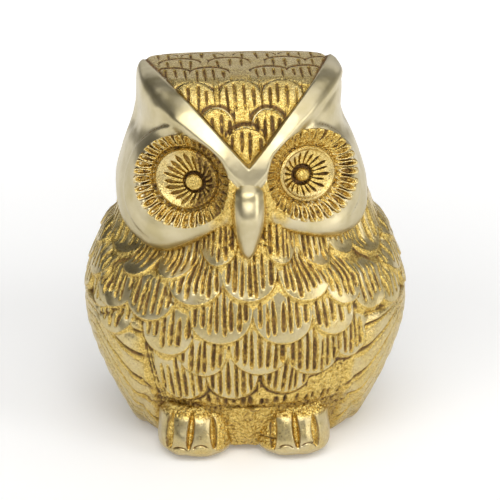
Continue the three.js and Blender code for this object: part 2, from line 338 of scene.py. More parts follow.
class Form:
    """An upright rounded form whose sections are superellipses that change smoothly with height."""

    def __init__(self, node, profile, front_squareness, back_squareness):
        low, high = span(node)
        rows = np.array(profile)
        self.z = low[2] + rows[:, 0] * (high[2] - low[2])
        self.half = rows[:, 1] * high[0]
        self.front = rows[:, 2] * -low[1]
        self.back = rows[:, 3] * high[1]
        self.squareness = (front_squareness, back_squareness)

    def value(self, p):
        """Below 1 inside, above 1 outside."""
        z = np.clip(p[..., 2], self.z[0], self.z[-1])
        ahead = p[..., 1] < 0
        depth = np.where(ahead, curve(z, self.z, self.front), curve(z, self.z, self.back))
        power = np.where(ahead, *self.squareness)
        across = np.abs(p[..., 0]) / curve(z, self.z, self.half)
        return (across ** power + (np.abs(p[..., 1]) / depth) ** power) ** (1 / power)

    def radius(self, azimuth, z):
        direction = np.stack([np.sin(azimuth), -np.cos(azimuth), np.zeros_like(azimuth)], -1)
        flat = direction + np.stack([0 * z, 0 * z, z], -1)
        return 1.0 / self.value(flat)

    def point(self, azimuth, z):
        r = self.radius(azimuth, z)
        return np.stack([r * np.sin(azimuth), -r * np.cos(azimuth), z], -1)


torso = Form("body_shell", TORSO_PROFILE, TORSO_SQUARENESS, TORSO_SQUARENESS)
skull = Form("head_shell", HEAD_PROFILE, FACE_SQUARENESS, NAPE_SQUARENESS)
CROWN_Z = span("crown_panel")[1][2]


def crown_height(p):
    """Height of the crown's surface over the point p."""
    return CROWN_Z - curve(-p[..., 1], CROWN_FALL_FRONT, CROWN_FALL_DROP) - 0.0006 * p[..., 0] ** 2


def head_value(p):
    """Below 0 inside the plain head, in about millimetres: the skull, softly cut off by the crown."""
    side = (skull.value(p) - 1.0) * 20.0
    top = (p[..., 2] - crown_height(p)) * 0.8
    soft = 0.8
    return np.maximum(side, top) + soft * np.log1p(np.exp(-np.abs(side - top) / soft)) - 0.1


def cast(origin, direction, value, reach=60.0):
    """The point where rays that start inside value's form leave it."""
    near = np.zeros(direction.shape[:-1])
    far = np.full(direction.shape[:-1], reach)
    for _ in range(BISECTIONS):
        middle = (near + far) / 2
        inside = value(origin + middle[..., None] * direction) < 0
        near = np.where(inside, middle, near)
        far = np.where(inside, far, middle)
    return origin + near[..., None] * direction


def v_distance(p):
    """Distance inside the V of the forehead, negative outside it, and the distance along it from the apex."""
    q = p - APEX
    rise = q[..., 1] * math.sin(V_FALL) + q[..., 2] * math.cos(V_FALL)
    across = np.abs(q[..., 0])
    inside = rise * math.cos(V_SLOPE) - across * math.sin(V_SLOPE)
    along = rise * math.sin(V_SLOPE) + across * math.cos(V_SLOPE)
    return inside, along


def settle(p):
    """The head as it sits on the body: turned a little to its own left, and leaning to its own right."""
    shift = HEAD_SHIFT + HEAD_LEAN * np.maximum(p[..., 2] - HEAD_LEAN_FROM, 0.0)
    x = p[..., 0] * math.cos(HEAD_TURN) - p[..., 1] * math.sin(HEAD_TURN) - shift
    y = p[..., 0] * math.sin(HEAD_TURN) + p[..., 1] * math.cos(HEAD_TURN)
    return np.stack([x, y, p[..., 2]], -1)


class Relief:
    """Chased scales laid over each other like shingles, on a grid of (across, up) millimetres."""

    def __init__(self, across, up):
        self.across, self.up = across, up + 0 * across
        self.layer = np.zeros_like(self.up)  # height of the top scale
        self.cut = np.zeros_like(self.up)  # depth of its grooves
        self.inside = np.zeros_like(self.up)  # distance inside its edge
        self.line = np.zeros_like(self.up)  # 1 along its edge
        self.gap = np.zeros_like(self.up)  # 1 in the crease just outside its edge

    def scale(self, at, tip, width, length, lift, grooves, rng, depth, thick, turn=0.0, up=1, blunt=0.8,
              bare=1.5, stroke=0.24):
        """One scale with its rounded tip at (at, tip). up is 1 where the tip points down, -1 where it is up.

        bare is how much of it stays smooth, from the tip to the grooves' lower ends. Its grooves are cut to
        depth, and thick is half their width at most. stroke is half the width of the line around its tip.
        """
        ds = self.across - at
        dt = (self.up - tip) * up
        near = (np.abs(ds) < 0.7 * width + 0.3 * length) & (dt > -0.6 * width) & (dt < length + 1)
        if not near.any():
            return
        ds, dt = ds[near], dt[near]
        s = ds * math.cos(turn) - dt * math.sin(turn)
        t = ds * math.sin(turn) + dt * math.cos(turn)
        a = np.clip(np.abs(2 * s / width), 0, 0.9999)
        arc = np.sqrt(1 - a * a)
        edge = blunt * width / 2 * (1 - arc)
        inside = (t - edge) * np.sqrt(1 / (1 + (blunt * a / arc) ** 2))
        inside = np.where(np.abs(2 * s / width) >= 1, -1.0, inside)
        body = lift * (1.0 - 0.75 * np.clip(t / length, 0, 1.2)) + 0.14 * width / 10 * (1 - a * a)
        full = (0.5 * smooth(inside / 0.35) + 0.5 * after(inside, 0.55, 0.6)) * body
        cut = np.zeros_like(full)
        pitch = 0.86 * width / grooves
        for k in range(grooves):
            place = (k + 0.5 - grooves / 2) * pitch + rng.uniform(-0.14, 0.14) * pitch
            low = blunt * width / 2 * (1 - math.sqrt(1 - min(abs(2 * place / width), 1) ** 2))
            low += bare * rng.uniform(0.6, 1.35) + 0.5
            high = low + (length - low) * rng.uniform(0.6, 1.0)
            half = min(thick, 0.40 * pitch) * rng.uniform(0.8, 1.2)
            strong = rng.uniform(0.75, 1.15) * depth
            share = np.clip((t - low) / (high - low), 0, 1) ** 0.6
            lens = np.clip(1 - (2 * share - 1) ** 2, 0, 1)
            bend = rng.uniform(-0.05, 0.05) * (t - low)
            groove = bell(s - place - bend, half * (0.35 + 0.65 * lens)) * smooth(lens * 2.5)
            cut = np.maximum(cut, groove * strong)
        line = bell(inside - 0.05, 0.24)
        line = np.maximum(line, bell(t - edge, stroke) * before(a, 0.85, 0.3))
        wins = full > self.layer[near]
        shows = (body > self.layer[near]) & (inside > -1)
        for kept, new in ((self.layer, full), (self.cut, cut * smooth(inside / 1.2)), (self.inside, inside)):
            held = kept[near]
            held[wins] = new[wins]
            kept[near] = held
        held = self.line[near]
        self.line[near] = np.where(wins, line, np.where(shows, np.maximum(held, line), held))
        held = self.gap[near]
        gap = bell(inside + 0.25, 0.36)
        self.gap[near] = np.where(wins, 0.0, np.where(shows, np.maximum(held, gap), held))

    def height(self):
        return self.layer - self.cut


def finish_from(height, cell, wrap, sharp=0.9, broad=3.2):
    """Wear (1 on buffed high places) and grime (1 in the deepest engraving, which holds patina and painted
    shade) from a grid of relief heights.
    """
    fine = blur(blur(height, max(1, round(sharp / cell)), wrap), max(1, round(sharp / cell)), wrap) - height
    wide = blur(height, max(1, round(broad / cell)), wrap) - height
    wear = 1.0 - after(fine + 0.25 * wide, 0.01, 0.17)
    grime_and_shade = after(fine + 0.35 * wide, 0.15, 0.33)
    return wear, grime_and_shade


# ---------------------------------------------------------------- meshes

def make_object(name, points, quads, triangles, wear, grime_and_shade):
    """A smooth mesh object from points in millimetres, with its two finish attributes."""
    count = len(quads) + len(triangles)
    loops = np.concatenate([np.asarray(quads, np.int32).ravel(), np.asarray(triangles, np.int32).ravel()])
    mesh = bpy.data.meshes.new(name)
    mesh.vertices.add(len(points))
    mesh.vertices.foreach_set("co", (points * MM).astype(np.float32).ravel())
    mesh.loops.add(len(loops))
    mesh.loops.foreach_set("vertex_index", loops)
    mesh.polygons.add(count)
    sizes = np.array([4] * len(quads) + [3] * len(triangles), np.int32)
    mesh.polygons.foreach_set("loop_start", np.concatenate([[0], np.cumsum(sizes)[:-1]]).astype(np.int32))
    mesh.polygons.foreach_set("use_smooth", np.ones(count, bool))
    mesh.update(calc_edges=True)
    for label, values in (("wear", wear), ("grime_and_shade", grime_and_shade)):
        attribute = mesh.attributes.new(label, "FLOAT", "POINT")
        attribute.data.foreach_set("value", np.clip(values, 0, 1).astype(np.float32))
    obj = bpy.data.objects.new(name, mesh)
    bpy.context.scene.collection.objects.link(obj)
    return obj


def facing_out(points, quads, triangles):
    """Faces turned so that the closed mesh has a positive volume."""
    t = points[np.concatenate([quads[:, [0, 1, 2]], quads[:, [0, 2, 3]], triangles])]
    volume = np.einsum("ij,ij->i", t[:, 0], np.cross(t[:, 1], t[:, 2])).sum()
    if volume < 0:
        return quads[:, ::-1], triangles[:, ::-1]
    return quads, triangles


def ring_quads(rows, columns, join_rows):
    """Quads of a grid whose columns join up, and whose last row may join its first."""
    last = rows if join_rows else rows - 1
    i = np.arange(last)[:, None]
    j = np.arange(columns)[None, :]
    k, m = (i + 1) % rows, (j + 1) % columns
    return np.stack([i * columns + j, i * columns + m, k * columns + m, k * columns + j], -1).reshape(-1, 4)


def tube_object(name, rows, wear, grime_and_shade, join_rows=False):
    """A closed object from rings of points. Its ends meet each other, or each is closed on a middle point."""
    count, columns = rows.shape[:2]
    points = rows.reshape(-1, 3)
    wear, grime_and_shade = wear.ravel(), grime_and_shade.ravel()
    quads = ring_quads(count, columns, join_rows)
    triangles = np.zeros((0, 3), int)
    if not join_rows:
        j = np.arange(columns)
        m = (j + 1) % columns
        first, last = len(points), len(points) + 1
        bottom = np.stack([np.full(columns, first), m, j], -1)
        top = (count - 1) * columns
        triangles = np.concatenate([bottom, np.stack([np.full(columns, last), top + j, top + m], -1)])
        points = np.concatenate([points, [rows[0].mean(0)], [rows[-1].mean(0)]])
        wear = np.append(wear, [wear[0], wear[-1]])
        grime_and_shade = np.append(grime_and_shade, [grime_and_shade[0], grime_and_shade[-1]])
    quads, triangles = facing_out(points, quads, triangles)
    return make_object(name, points, quads, triangles, wear, grime_and_shade)


def slab_object(name, top, back, wear, grime_and_shade):
    """A closed object from a grid of points and a second grid behind it."""
    rows, columns = top.shape[:2]
    size = rows * columns
    i = np.arange(rows - 1)[:, None]
    j = np.arange(columns - 1)[None, :]
    near = i * columns + j
    far = near + columns
    face = np.stack([near, near + 1, far + 1, far], -1).reshape(-1, 4)
    rim = np.concatenate([
        np.arange(columns - 1),
        np.arange(rows - 1) * columns + columns - 1,
        size - 1 - np.arange(columns - 1),
        (rows - 1 - np.arange(rows - 1)) * columns,
    ])
    after = np.roll(rim, -1)
    sides = np.stack([rim, rim + size, after + size, after], -1)
    quads = np.concatenate([face, face[:, ::-1] + size, sides])
    points = np.concatenate([top.reshape(-1, 3), back.reshape(-1, 3)])
    quads, triangles = facing_out(points, quads, np.zeros((0, 3), int))
    wear = np.concatenate([wear.ravel(), np.zeros(size)])
    grime_and_shade = np.concatenate([grime_and_shade.ravel(), np.ones(size) * 0.5])
    return make_object(name, points, quads, triangles, wear, grime_and_shade)


# ---------------------------------------------------------------- the pieces

def front_dense_azimuths(columns, gain):
    """Azimuths for a ring of points, closer together at the front."""
    u = np.linspace(-math.pi, math.pi, columns, endpoint=False)
    return u - gain * np.sin(u)


def oval(angle, half, front, back, power):
    """Radius of a rounded section at each angle from its front: half wide, and reaching front and back."""
    depth = np.where(np.cos(angle) > 0, front, back + 0 * front)
    return (np.abs(np.sin(angle) / half) ** power + np.abs(np.cos(angle) / depth) ** power) ** (-1 / power)


def lay_scales(relief):
    """The scales of the breast, and the rows on the shoulders and the back."""
    for row, scales in enumerate(BREAST_SCALES):
        for count, (place, tip, width) in enumerate(scales):
            rng = np.random.default_rng((SEED, row, count))
            relief.scale(math.radians(place) * BODY_RADIUS, tip, width * 1.12, 13.0, 1.5 - 0.08 * row,
                         max(5, round(width / 1.65)), rng, turn=rng.uniform(-0.07, 0.07), depth=0.65,
                         bare=BREAST_BARE[row] * rng.uniform(0.8, 1.2), thick=0.42)
    for row, (tip, places, width, lift) in enumerate(COVERTS):
        for count, sign, turns in itertools.product(range(len(places)), (-1, 1), (-1, 0, 1)):
            rng = np.random.default_rng((SEED, 20 + row, count, 1 + sign))
            at = (math.radians(sign * places[count]) + 2 * math.pi * turns) * BODY_RADIUS
            relief.scale(at, tip + rng.uniform(-0.5, 0.5), width, 12.0, lift, 5, rng,
                         turn=sign * 0.10, depth=0.35, bare=1.6, thick=0.38)


def long_feathers(base, side, z, layer, fine, broad):
    """The wing's long feathers, as strips that fan out: height, where they show, polish, and painted shadow
    in the creases with the dark quill lines.
    """
    ahead = (FAN_AZIMUTH - side) * math.pi / 180 * BODY_RADIUS
    ahead = np.where(ahead > 0, ahead, 0.0) ** 2 / (np.abs(ahead) + 1.5)
    slope = (FAN_Z - z - 3.5 * after(side, 105, 40)) / (3.5 + ahead)
    place = curve(slope, FAN_SLOPES, range(len(FAN_SLOPES)))
    strip = np.ceil(place) - place
    crease = np.maximum(bell(strip, 0.08), bell(1 - strip, 0.14))
    height = 0.95 - 0.35 * strip - 0.5 * crease + 0.2 * fine * before(strip, 0.22, 0.1)
    quill = bell(strip - 0.62 - 0.05 * broad, 0.05) * after(noise(base, 5.0, 3), -0.2, 0.3)
    on_wing = after(side, 41 + 0.45 * np.maximum(z - 30, 0) + 0.8 * np.maximum(14 - z, 0), 4)
    shows = on_wing * (1 - after(side, 142, 5)) * smooth(slope / 0.1) * after(height, layer, 0.15)
    sleek = shows * after(strip, 0.06, 0.08) * before(strip, 0.80 + 0.06 * fine, 0.12)
    sleek = sleek * (0.58 + 0.1 * smooth(broad + 0.5))
    # Painted shadow along the creases under each strip's edge, and dark quill lines
    crease_shadow_and_quill = shows * np.maximum(crease, 0.5 * quill) * smooth(fine + 1.3)
    return height - 0.30 * quill, shows, sleek, crease_shadow_and_quill


def belly_notches(degrees, z):
    """1 in the uneven notches along the belly's lower edge."""
    rng = np.random.default_rng((SEED, 90))
    notch = np.zeros_like(z)
    for at in np.arange(-46, 47, 3.9):
        s = (degrees - at - rng.uniform(-1.1, 1.1)) * BODY_RADIUS * math.pi / 180 / rng.uniform(0.40, 0.72)
        t = (z - FRINGE_Z - rng.uniform(-0.3, 0.3)) / rng.uniform(1.0, 1.5)
        notch = np.maximum(notch, np.exp(-(s * s + t * t) ** 2) * rng.uniform(0.45, 1.0))
    return notch


def plumage(azimuth, z, wrap):
    """Relief height, wear and grime of the feathered body at each azimuth and height."""
    degrees = np.degrees(azimuth)
    side = np.abs(degrees)
    base = torso.point(azimuth, z)
    relief = Relief(azimuth * BODY_RADIUS, z)
    lay_scales(relief)
    fine, broad = noise(base, 0.8, 1), noise(base, 3.0, 2)
    strips, bare, sleek, strip_shadow_and_quill = long_feathers(base, side, z, relief.layer, fine, broad)
    height = relief.height() * (1 - bare) + strips * bare
    # Hatching on one lower flank, pits on the other and under the beak, and rough ground below the notches
    open_ground = before(np.maximum(relief.layer, bare), 0.5, 0.35)
    flank = after(side, 20, 8) * (1 - after(side, 66, 8)) * before(z, 36, 3) * after(z, 8.0, 2) * open_ground
    waves = np.sin(azimuth * BODY_RADIUS * 6.6 + 2.2 * broad + 0.4 * z)
    hatch = smooth(0.5 + 0.5 * waves) * smooth(fine + 0.8)
    pits = after(noise(base, 0.62, 4), 0.05, 0.4)
    chin = smooth(1.35 - np.hypot(degrees / 21, (z - 51.0) / 5.0))
    notch = belly_notches(degrees, z)
    rough = before(side, 54, 8) * before(z, FRINGE_Z - 0.2, 2.0)
    cuts = most(
        flank * np.where(degrees < 0, 0.45 * hatch, 0.3 * pits),
        0.35 * chin * pits,
        open_ground * 0.2 * pits * after(z, FRINGE_Z + 1.5, 1.5),
        notch,
    )
    cuts = cuts + rough * (0.3 * pits + 0.25 * fine)
    height = height - cuts - 0.9 * rough + 0.05 * broad - 0.3 * relief.gap * (1 - bare)
    wear, grime_and_shade = finish_from(height, BODY_CELL, wrap)
    wear = wear * after(relief.inside, 0.9, 0.4) * (1 - smooth(relief.cut / 0.18))
    wear = wear * (1 - 0.85 * chin) * (1 - rough) * (1 - 0.8 * flank * (1 - bare))
    height = height - 0.10 * (1 - wear) * smooth(fine + 0.3)
    wear = np.maximum(wear * (0.74 - 0.10 * after(side, 60, 20)), sleek)
    grime_and_shade = grime_and_shade * (0.7 + 0.3 * smooth(noise(base, 1.6, 5) + 0.5))
    # Painted shadow: dark in the crease just outside each scale's edge
    grime_and_shade = np.maximum(grime_and_shade, 0.95 * relief.gap * (1 - bare)) * (1 - 0.5 * smooth(relief.cut / 0.1))
    grime_and_shade = most(
        grime_and_shade,
        0.84 * after(relief.cut, 0.14, 0.33) * (1 - bare) * smooth(noise(base, 1.2, 6) + 0.9),
        (chin * 0.75 + flank * 0.45 + rough * 0.5) * pits,
        0.95 * notch,
    )
    grime_and_shade = most(grime_and_shade * (1 - bare), strip_shadow_and_quill, flank * (degrees < 0) * 0.5 * hatch, 0.4 * rough)
    return height, wear, grime_and_shade


def neck_pinch(azimuth, z):
    """How far the front of the body draws in under the cheeks."""
    side = np.abs(np.degrees(azimuth))
    return 3.8 * after(z, 40.5, 5.0) * after(side, 12, 14) * (1 - after(side, 62, 14))


def wing_edges(z):
    """Azimuths, in degrees, of the wing's front and rear edges at a height."""
    return curve(z, WING_HEIGHT, WING_FRONT), curve(z, WING_HEIGHT, WING_BACK)


def level_direction(points):
    """The direction from the Z axis out to each point."""
    flat = points * LEVEL
    return flat / np.linalg.norm(flat, axis=-1, keepdims=True)


def body_surface(azimuth, z):
    """The plain body's surface and its outward direction at each azimuth and height."""
    base = torso.point(azimuth, z)
    away = level_direction(base)
    step = 0.5
    rise = torso.radius(azimuth, z + step) - torso.radius(azimuth, z - step)
    out = away - (rise / (2 * step))[..., None] * np.array((0.0, 0.0, 1.0))
    out = out / np.linalg.norm(out, axis=-1, keepdims=True)
    return base - neck_pinch(azimuth, z)[..., None] * away, out


def body_piece():
    """The hollow torso, feathered all over, and its plain inside."""
    low, high = span("body_shell")
    heights = np.linspace(low[2], high[2] + NECK_OVERLAP, 168)
    azimuth, z = np.meshgrid(front_dense_azimuths(560, 0.42), heights)
    base, out = body_surface(azimuth, z)
    height, wear, grime_and_shade = plumage(azimuth, z, True)
    # The body lies a little lower where a wing covers it
    front, back = wing_edges(z)
    side = np.abs(np.degrees(azimuth))
    height = height - after(side, front + 2.5, 3) * before(side, back - 2.5, 3)
    outer = base + out * height[..., None]
    outer[..., 2] = np.maximum(outer[..., 2], low[2])
    share = np.linspace(1, 0, 8)[:, None]
    around = azimuth[:1] + 0 * share
    inner = torso.point(around, low[2] + share * (heights[-1] - low[2]) + 0 * around)
    inner = inner - level_direction(inner) * (WALL + 3.0 * share)[..., None]
    plain = np.zeros(inner.shape[:2])
    return tube_object("body_casting", np.concatenate([outer, inner]), np.concatenate([wear, plain]),
                       np.concatenate([grime_and_shade, plain + 0.5]), join_rows=True)


def eye_frame(side):
    """The eye's middle, its axis out of the face, and its two cross directions (towards +X, and up)."""
    sign = 1 if side == "left" else -1
    low, high = span(f"{side}_iris")
    axis = np.array((sign * math.sin(EYE_TURN) * math.cos(EYE_LIFT),
                     -math.cos(EYE_TURN) * math.cos(EYE_LIFT), math.sin(EYE_LIFT)))
    right = np.cross(axis, (0.0, 0.0, -1.0))
    right = right / np.linalg.norm(right)
    return (low + high) / 2 + EYE_SHIFT[side], axis, right, np.cross(axis, right) * EYE_SQUASH[side]


def eye_point(side, radius, angle, height):
    """The point at that height along the eye's axis over (radius, angle)."""
    middle, axis, right, up = eye_frame(side)
    iris = 1 - after(radius, 5.5, 5.4)
    pupil = 1 - after(radius, 2.2, 5.3)
    u, v = (radius * part + IRIS_OFFSET[side][k] * iris + PUPIL_OFFSET[side][k] * pupil
            for k, part in enumerate((np.cos(angle), np.sin(angle))))
    return middle + u[..., None] * right + v[..., None] * up + height[..., None] * axis


def eye_base(side, radius, angle):
    """Height of the plain head's surface along the eye's axis, over (radius, angle)."""
    middle, axis, _, _ = eye_frame(side)
    start = eye_point(side, radius, angle, np.full_like(radius, -6.0))
    surface = cast(start, np.broadcast_to(axis, start.shape), head_value, 30.0)
    return (surface - middle) @ axis


def eye_rim(side):
    """Angles around the eye, the height of the plain head there at the ring's edge, and the ring's own."""
    angle = np.linspace(-math.pi, math.pi, 181)
    plain = eye_base(side, np.full_like(angle, EYE_RADIUS[side] + 0.4), angle)
    return angle, plain, plain.mean() + EYE_FLATNESS * (plain - plain.mean())


def eye_dish(side, radius, angle):
    """Height of the eye's sunken dish along its axis, meeting the head's surface at the rim."""
    rim_angle, _, rim = eye_rim(side)
    mean = rim.mean() - 0.25
    share = after(radius, 5.0, EYE_RADIUS[side] - 4.6)
    level = mean + (np.interp(angle, rim_angle, rim) - mean) * share
    return level - curve(radius, EYE_DEPTH_RADIUS, EYE_DEPTH)


def dish_grid(side, inner, outer, rows, columns):
    """Radius, angle and dish height of a grid around the eye."""
    angle = np.linspace(-math.pi, math.pi, columns, endpoint=False)
    angle, radius = np.meshgrid(angle, np.linspace(inner, outer, rows))
    return radius, angle, eye_dish(side, radius, angle)


def sectors(count, angle, rng, *ranges):
    """Equal sectors of a circle: each angle's place across its own (-0.5 to 0.5), and its random values."""
    turn = (angle / (2 * math.pi) + 0.5) * count
    number = np.floor(turn).astype(int) % count
    return turn - np.floor(turn) - 0.5, [rng.uniform(low, high, count)[number] for low, high in ranges]


def dish_object(name, side, radius, angle, front, back, every, wear, grime_and_shade, join_rows):
    """A closed object from two grids of heights over an eye, where the back keeps only some rows."""
    front = eye_point(side, radius, angle, front)
    back = eye_point(side, radius[::-every], angle[::-every], back[::-every])
    plain = np.zeros(back.shape[:2])
    return tube_object(name, settle(np.concatenate([front, back])), np.concatenate([wear, plain]),
                       np.concatenate([grime_and_shade, plain + 1]), join_rows)


def eye_ring_piece(side):
    """The ring of hollow petals around an eye, with a rope line at its inner edge."""
    inner, outer = IRIS_RADIUS[side], EYE_RADIUS[side] + 0.9
    radius, angle, low = dish_grid(side, inner + 0.2, outer, 60, 720)
    rng = np.random.default_rng((SEED, 30, len(side)))
    part, (shift, reach, depth, girth) = sectors(EYE_PETALS, angle, rng, *PETAL_RANGES)
    across = (part - shift) * 2 * math.pi * radius / EYE_PETALS
    middle = (inner + outer) / 2 + 0.25 + 0.5 * shift
    half = 0.52 * girth * (0.75 + 0.35 * after(radius, 8.0, 2))
    leaf = np.sqrt(((radius - middle) / reach) ** 2 + (across / half) ** 2)
    nose = -1 if side == "left" else 1
    worn = 1.0 - PETAL_LOSS[side] * after(np.sin(angle), 0.25, 0.5)
    worn = worn * (1 - 0.45 * after(nose * np.cos(angle), 0.35, 0.4))
    place = eye_point(side, radius, angle, low)
    hollow = -0.70 * depth * (1 - after(leaf, 0.45, 0.6))
    wall = 0.45 * bell(leaf - 1.36, 0.30)
    between = -0.6 * after(np.abs(across), 0.76, 0.2) * after(radius, 7.9, 0.8)
    tip = after(leaf, 1.75, 1.0) * after(radius, middle, 0.6)
    groove = -0.6 * bell(radius - inner - 0.4, 0.33)
    rope = 0.2 * np.sin(angle * 46 + radius * 4) * bell(radius - inner - 0.8, 0.28)
    relief = (hollow + wall + between) * worn - tip + groove + rope + 0.07 * noise(place, 0.5, 8)
    relief = relief + 0.16 * (1 - worn) * noise(place, 0.9, 10)
    wear, grime_and_shade = finish_from(relief, 2 * math.pi * 9 / angle.shape[1], True, sharp=0.5, broad=1.6)
    speck = after(noise(place, 0.8, 9), 0.05, 0.5)
    wear = np.maximum(0.25 * wear, 0.7 * after(wall * worn, 0.12, 0.2)) * (1 - tip)
    grime_and_shade = most(
        0.8 * grime_and_shade * (0.3 + 0.7 * speck) + 0.75 * smooth(-between * worn / 0.3) * (1 - tip),
        0.85 * smooth(-groove / 0.4) * (0.4 + 0.6 * speck),
        (0.35 + 0.5 * speck) * smooth(-hollow * worn / 0.35),
        0.35 * (1 - worn) * (1 + speck) * (1 if side == "right" else 0.5),
    )
    if side == "right":
        shade = after(np.cos(angle) * 0.9 + 0.3 * np.sin(angle), 0.1, 0.5)
        wear = wear * (1 - 0.7 * shade)
        grime_and_shade = np.maximum(grime_and_shade, shade * (0.35 + 0.45 * speck))
    return dish_object(f"{side}_eye_rim", side, radius, angle, low + 0.4 + relief, low - 1.6, 4,
                       wear, grime_and_shade, join_rows=True)


def iris_piece(side):
    """The sunken dish of an eye, with rays cut into it that are black on one side."""
    edge = IRIS_RADIUS[side] - 0.4
    radius, angle, low = dish_grid(side, 0.4, edge + 0.5, 84, 480)
    rng = np.random.default_rng((SEED, 31, len(side)))
    part, (shift, end, girth, depth) = sectors(IRIS_RAYS, angle, rng, (-0.1, 0.1), (edge - 1.1, edge - 0.3),
                                               (0.8, 1.15), (0.75, 1.1))
    narrow, flare = RAY_WIDTH[side]
    width = girth * (narrow + flare * after(radius, 2.5, 3.0))
    narrowing = np.sqrt(before(radius, end, 1.1))
    ray = after(width * narrowing, np.abs(part - shift) * 2, 0.3) * after(radius, 2.0, 0.6)
    well = before(radius, 2.75, 0.4)
    grain = noise(eye_point(side, radius, angle, low), 0.5, 18)
    relief = -0.85 * ray * depth + 0.10 * grain * ray + 0.25 * bell(radius - edge, 0.3) - 0.8 * well
    wear, grime_and_shade = finish_from(relief, 2 * math.pi * 4 / angle.shape[1], True, sharp=0.45, broad=1.4)
    turn, spread, reach = RAY_BLACK[side]
    black = after(np.cos(angle + turn), -spread, 0.5) * (1 - after(radius, reach, 0.8))
    grime_and_shade = np.maximum(grime_and_shade * 0.5, (ray * (0.42 + 0.58 * black) + well) * (0.85 + 0.25 * grain))
    grime_and_shade = np.clip(grime_and_shade, 0, 1)
    wear = wear * (1 - smooth(ray / 0.4)) * (0.3 + 0.25 * after(radius, 3.5, 2))
    if side == "right":
        shade = after(np.cos(angle), -0.1, 0.5)
        wear = wear * (1 - 0.8 * shade)
        grime_and_shade = np.maximum(grime_and_shade, shade * (0.3 + 0.5 * smooth(grain + 0.4)))
    return dish_object(f"{side}_iris_dish", side, radius, angle, low + 0.3 + relief, low - 1.9, 5,
                       wear, grime_and_shade, join_rows=False)


def pupil_piece(side):
    """The round stud in the middle of an eye."""
    profile = np.array(PUPIL_PROFILE[side])
    marks = np.arange(len(profile))
    steps = np.linspace(0, marks[-1], 40)
    angle = np.linspace(-math.pi, math.pi, 64, endpoint=False)[None, :]
    radius, height = (np.interp(steps, marks, column)[:, None] + 0 * angle for column in profile.T)
    angle = angle + 0 * radius
    floor = eye_dish(side, np.array([0.0]), np.array([0.0]))[0] + 0.3
    _, axis, right, up = eye_frame(side)
    points = eye_point(side, 0 * radius, angle, floor + height)
    points = points + (radius * np.cos(angle))[..., None] * right + (radius * np.sin(angle))[..., None] * up
    points = points + 0.05 * noise(points, 0.9, 21)[..., None] * axis
    wear, grime_and_shade = 0.3 * smooth(height), 0.9 * (1 - after(height, -0.2, 0.5))
    return tube_object(f"{side}_pupil_stud", settle(points), wear, grime_and_shade)


def head_surface(azimuth, elevation):
    """The plain head's surface in a direction from its middle."""
    direction = np.stack([np.sin(azimuth) * np.cos(elevation), -np.cos(azimuth) * np.cos(elevation),
                          np.sin(elevation)], -1)
    return cast(HEAD_MIDDLE, direction, head_value)


def brow_height(p):
    """How far the brow bands stand over the plain head."""
    inside, along = v_distance(p)
    width, end, length = (np.where(p[..., 0] > 0, left, right) for left, right in zip(
        (BROW_WIDTH["left"], *BROW_END["left"]), (BROW_WIDTH["right"], *BROW_END["right"])))
    width = width * (0.62 + 0.38 * after(along, 4, 14))
    width = width + (BRIDGE - width) * (1 - after(along, 0.5, 4.5))
    share = -inside / width
    rise = after(share, -0.03, 0.14) * (1 - after(share, 0.70, 0.40))
    fade = (1 - 0.35 * after(along, 12, 12)) * (1 - after(along, end, length))
    return BROW_HEIGHT * rise * fade * after(p[..., 2], 60.8, 1.6)


def beak_skirt(x, y, z):
    """1 in the raised skirt of metal around the beak."""
    low, high = span("beak")
    half = curve(np.clip((z - low[2]) / (high[2] - low[2]), 0, 1), BEAK_HEIGHT, BEAK_HALF) * high[0]
    beside = np.clip(np.abs(x) - half - 0.6, 0, 9)
    return bell(beside, 1.7) * after(z, 48, 4) * before(z, 68, 3) * after(-y, 15, 5)


def set_in_eyes(surface, normal, z, off_brow):
    """Sinks the eye sockets and cuts the cheek lines. Gives the surface, the lines and the rough places."""
    lines, rough = np.zeros(z.shape), np.zeros(z.shape)
    for side in ("left", "right"):
        middle, axis, right, up = eye_frame(side)
        edge = EYE_RADIUS[side]
        q = surface - middle
        u, v, w = q @ right, q @ up / EYE_SQUASH[side] ** 2, q @ axis
        radius, angle = np.hypot(u, v), np.arctan2(v, u)
        facing = w > -9
        # The face comes level with the ring all round it
        rim_angle, plain, ring = eye_rim(side)
        shift = np.interp(angle, rim_angle, ring - plain) * (1 - after(radius, edge + 0.4, 4.5)) * facing
        dish = eye_dish(side, np.minimum(radius, edge + 0.4), angle)
        sink = np.minimum(0, dish - 0.9 - 0.8 * before(radius, edge - 0.9, 0.8) - w - shift)
        sink = sink * before(radius, edge + 0.7, 1.5) * facing
        surface = surface + (shift + sink)[..., None] * axis
        outward = np.sign(middle[0]) * u
        bearing = np.degrees(np.arctan2(v, outward))
        line = CHEEK_LINE[side][0] + CHEEK_LINE[side][1] * before(bearing, 65, 110)
        sweep = after(bearing, -70, 30) * before(bearing, 84, 12) * facing
        cut = bell(radius - line, 0.22) * sweep
        step = after(radius, line, 0.5) * before(radius, line + 5, 5) * sweep
        surface = surface - normal * (0.35 * cut + 0.5 * step)[..., None]
        lines = np.maximum(lines, cut)
        by_beak = before(radius, 14.5, 3) * after(-outward, 4, 5) * after(z, 49, 3)
        rough = np.maximum(rough, by_beak * off_brow)
    return surface, lines, rough


